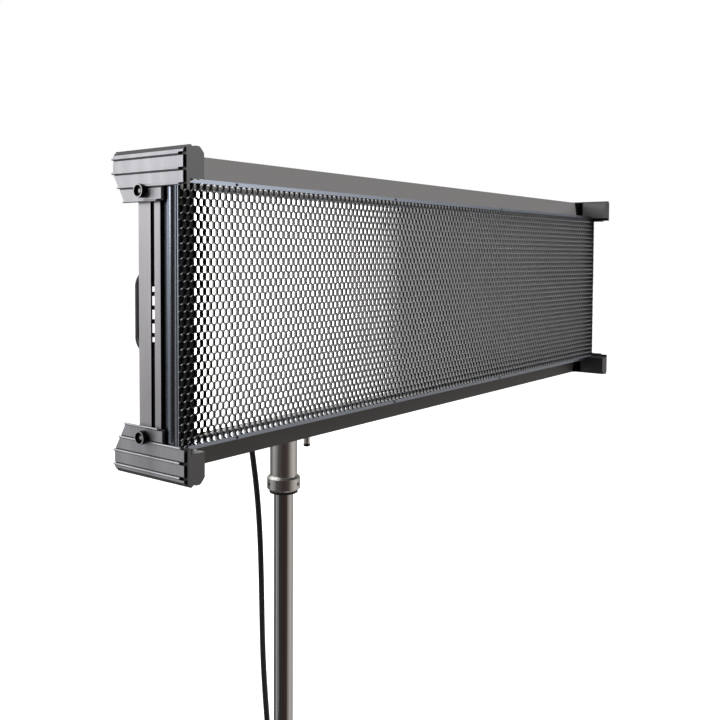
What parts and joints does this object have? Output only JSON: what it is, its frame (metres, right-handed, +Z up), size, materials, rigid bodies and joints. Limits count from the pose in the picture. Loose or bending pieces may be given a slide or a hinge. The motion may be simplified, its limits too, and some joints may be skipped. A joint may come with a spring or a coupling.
{
  "type": "led soft light with honeycomb louver",
  "caption": "Long rectangular LED soft light with a removable honeycomb louver in corner brackets, a pan and tilt mount and a stand riser.",
  "frame": {"origin": "centre of the riser tube's foot", "axes": "+Z up the riser, -Y the way the lamp shines, +X along the lamp"},
  "size_m": [1.1046, 0.2404, 1.0476],
  "materials": {
    "alloy": "satin turned",
    "alloy_case": "plain sheet",
    "black_knob": "matt",
    "black_metal": "satin black",
    "black_screws": "black oxide",
    "black_trim": "matt",
    "board": "lacquered",
    "cord_black": "matt",
    "diffuser": "opal",
    "display": "glossy",
    "end_paint": "satin, grey",
    "gland_black": "satin",
    "grey_key": "matt",
    "guard_grey": "satin, brushed along its length",
    "honeycomb": "satin",
    "housing_paint": "satin powder coat",
    "lever_black": "satin",
    "louver_black": "semi-gloss black",
    "pin_brass": "plain",
    "plug_black": "satin",
    "rail_paint": "satin, grey-brown powder coat",
    "reflector_white": "matt white",
    "riser_chrome": "polished",
    "rubber_black": "matt",
    "steel": "zinc plated",
    "tie_black": "woven strap"
  },
  "bodies": {
    "stand": {"riser_tube": "riser_chrome", "receiver": "alloy", "collar": "alloy", "set_screws": "black_screws", "seal_ring": "rubber_black"},
    "tee": {"tee_handle": "alloy", "tee_tips": "rubber_black"},
    "pan": {"tilt_bracket": "black_metal", "spigot": "alloy", "junction_box": "black_trim", "cable_gland": "gland_black", "power_cord": "cord_black", "cord_tail": "cord_black", "cord_coil": "cord_black", "coil_tie": "tie_black", "plug": "plug_black", "plug_pins": "pin_brass"},
    "head": {"top_rail": "rail_paint", "bottom_rail": "rail_paint", "end_left": "end_paint", "end_right": "end_paint", "side_bezels": "black_trim", "diffuser": "diffuser", "reflector_tray": "reflector_white", "led_boards": "board", "rear_cover": "rail_paint", "rear_housing": "housing_paint", "rear_screws": "black_screws", "power_supply": "alloy_case", "driver_board": "board", "control_panel": "black_trim", "display_window": "display", "mount_plate": "black_metal", "rear_handle_left": "black_metal", "rear_handle_right": "black_metal", "pivot_bolt": "steel"},
    "tilt_lever": {"tilt_lever": "lever_black"},
    "louver": {"louver_left": "louver_black", "louver_right": "louver_black", "louver_top": "louver_black", "louver_bottom": "louver_black", "honeycomb_core": "honeycomb", "louver_screws": "black_screws"},
    "button_left": {"button_left": "grey_key"},
    "button_right": {"button_right": "grey_key"},
    "encoder_left": {"encoder_left": "black_knob"},
    "encoder_right": {"encoder_right": "black_knob"},
    "rocker": {"rocker_switch": "black_knob"},
    "guard_upper_left": {"guard_upper_left": "guard_grey", "bolt_upper_left": "steel"},
    "knob_upper_left": {"knob_upper_left": "black_knob"},
    "guard_upper_right": {"guard_upper_right": "guard_grey", "bolt_upper_right": "steel"},
    "knob_upper_right": {"knob_upper_right": "black_knob"},
    "guard_lower_left": {"guard_lower_left": "guard_grey", "bolt_lower_left": "steel"},
    "knob_lower_left": {"knob_lower_left": "black_knob"},
    "guard_lower_right": {"guard_lower_right": "guard_grey", "bolt_lower_right": "steel"},
    "knob_lower_right": {"knob_lower_right": "black_knob"}
  },
  "joints": [
    {"name": "pan_turn", "type": "hinge", "parent": "stand", "child": "pan", "pos_m": [0, 0, 0.7], "axis": [0, 0, 1], "range_deg": [-90, 90]},
    {"name": "head_tilt", "type": "hinge", "parent": "pan", "child": "head", "pos_m": [0, -0.078, 0.88], "axis": [1, 0, 0], "range_deg": [-90, 35]},
    {"name": "tee_turn", "type": "hinge", "parent": "stand", "child": "tee", "pos_m": [0.04, 0, 0.6725], "axis": [1, 0, 0], "range_deg": [-180, 180]},
    {"name": "tilt_lever_turn", "type": "hinge", "parent": "head", "child": "tilt_lever", "pos_m": [0.031, -0.078, 0.88], "axis": [1, 0, 0], "range_deg": [0, 90]},
    {"name": "louver_pull", "type": "slide", "parent": "head", "child": "louver", "axis": [0, -1, 0], "range_m": [0, 0.06]},
    {"name": "button_left_press", "type": "slide", "parent": "head", "child": "button_left", "axis": [0, -1, 0], "range_m": [0, 0.0015], "stiffness_N_per_m": 400},
    {"name": "button_right_press", "type": "slide", "parent": "head", "child": "button_right", "axis": [0, -1, 0], "range_m": [0, 0.0015], "stiffness_N_per_m": 400},
    {"name": "encoder_left_turn", "type": "hinge", "parent": "head", "child": "encoder_left", "pos_m": [0.078, -0.094, 0.842], "axis": [0, 1, 0], "continuous": true},
    {"name": "encoder_right_turn", "type": "hinge", "parent": "head", "child": "encoder_right", "pos_m": [0.106, -0.094, 0.842], "axis": [0, 1, 0], "continuous": true},
    {"name": "rocker_rock", "type": "hinge", "parent": "head", "child": "rocker", "pos_m": [-0.095, -0.103, 0.904], "axis": [-1, 0, 0], "range_deg": [0, 14]},
    {"name": "guard_upper_left_slide", "type": "slide", "parent": "head", "child": "guard_upper_left", "axis": [0, 0, 1], "range_m": [0, 0.012]},
    {"name": "knob_upper_left_turn", "type": "hinge", "parent": "guard_upper_left", "child": "knob_upper_left", "pos_m": [-0.388, -0.1515, 1.005], "axis": [-1, 0, 0], "continuous": true},
    {"name": "guard_upper_right_slide", "type": "slide", "parent": "head", "child": "guard_upper_right", "axis": [0, 0, 1], "range_m": [0, 0.012]},
    {"name": "knob_upper_right_turn", "type": "hinge", "parent": "guard_upper_right", "child": "knob_upper_right", "pos_m": [0.708, -0.1515, 1.005], "axis": [1, 0, 0], "continuous": true},
    {"name": "guard_lower_left_slide", "type": "slide", "parent": "head", "child": "guard_lower_left", "axis": [0, 0, -1], "range_m": [0, 0.012]},
    {"name": "knob_lower_left_turn", "type": "hinge", "parent": "guard_lower_left", "child": "knob_lower_left", "pos_m": [-0.388, -0.1515, 0.755], "axis": [-1, 0, 0], "continuous": true},
    {"name": "guard_lower_right_slide", "type": "slide", "parent": "head", "child": "guard_lower_right", "axis": [0, 0, -1], "range_m": [0, 0.012]},
    {"name": "knob_lower_right_turn", "type": "hinge", "parent": "guard_lower_right", "child": "knob_lower_right", "pos_m": [0.708, -0.1515, 0.755], "axis": [1, 0, 0], "continuous": true}
  ]
}
